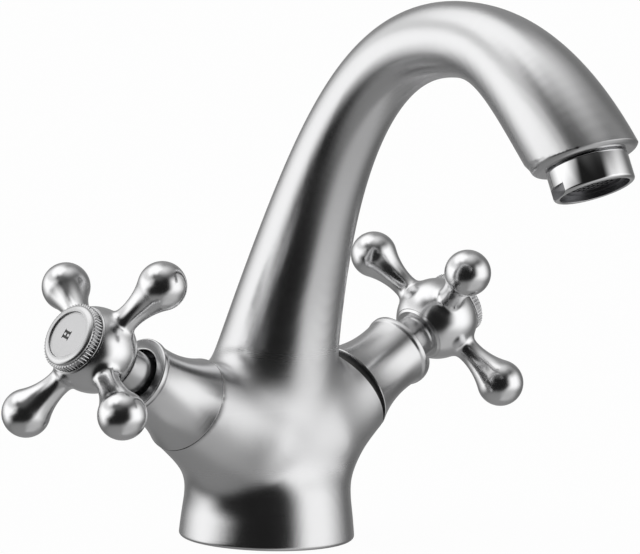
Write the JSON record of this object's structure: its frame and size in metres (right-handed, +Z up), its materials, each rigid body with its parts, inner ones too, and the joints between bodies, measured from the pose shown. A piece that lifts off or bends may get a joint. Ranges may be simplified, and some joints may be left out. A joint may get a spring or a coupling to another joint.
{
  "type": "two-handle basin tap",
  "caption": "Basin mixer tap with a swan-neck spout and two angled quarter-turn valves with ball-ended cross handles.",
  "frame": {"origin": "centre of the foot's underside, on the basin's surface", "axes": "+Z up, the spout reaches towards -Y, the hot valve is on -X and the cold valve on +X"},
  "size_m": [0.1657, 0.159, 0.1564],
  "materials": {
    "satin_nickel": "satin brushed nickel plate",
    "satin_shroud": "satin brushed nickel plate, brushed around the valve axis",
    "satin_index": "satin nickel plate, knurled",
    "index_plate": "fine satin with a dark letter",
    "polished_chrome": "polished",
    "polished_handle": "polished, slightly softened by wear",
    "brass": "machined",
    "spring_steel": "bright",
    "steel_mesh": "woven wire",
    "ceramic": "lapped",
    "white_plastic": "moulded",
    "rubber": "matte"
  },
  "bodies": {
    "body": {"tap_body": "satin_nickel", "base_gasket": "rubber", "aerator_housing": "polished_chrome", "aerator_washer": "rubber", "aerator_insert": "white_plastic", "aerator_mesh": "steel_mesh", "hot_shroud": "satin_shroud", "hot_cartridge_body": "brass", "hot_cartridge_oring": "rubber", "hot_seat_seal": "rubber", "hot_fixed_disc": "ceramic", "hot_thrust_washer": "brass", "cold_shroud": "satin_shroud", "cold_cartridge_body": "brass", "cold_cartridge_oring": "rubber", "cold_seat_seal": "rubber", "cold_fixed_disc": "ceramic", "cold_thrust_washer": "brass"},
    "hot_knob": {"hot_moving_disc": "ceramic", "hot_spindle": "brass", "hot_spindle_oring": "rubber", "hot_spindle_clip": "spring_steel", "hot_stem_sleeve": "polished_chrome", "hot_handle": "polished_handle", "hot_handle_screw": "spring_steel", "hot_index_ring": "satin_index", "hot_index_plate": "index_plate"},
    "cold_knob": {"cold_moving_disc": "ceramic", "cold_spindle": "brass", "cold_spindle_oring": "rubber", "cold_spindle_clip": "spring_steel", "cold_stem_sleeve": "polished_chrome", "cold_handle": "polished_handle", "cold_handle_screw": "spring_steel", "cold_index_ring": "satin_index", "cold_index_plate": "index_plate"}
  },
  "joints": [
    {"name": "hot_valve", "type": "hinge", "parent": "body", "child": "hot_knob", "pos_m": [0, 0, 0.0239], "axis": [-0.8886, 0, 0.4587], "range_deg": [0, 90]},
    {"name": "cold_valve", "type": "hinge", "parent": "body", "child": "cold_knob", "pos_m": [0, 0, 0.0239], "axis": [0.8886, 0, 0.4587], "range_deg": [-90, 0]}
  ]
}
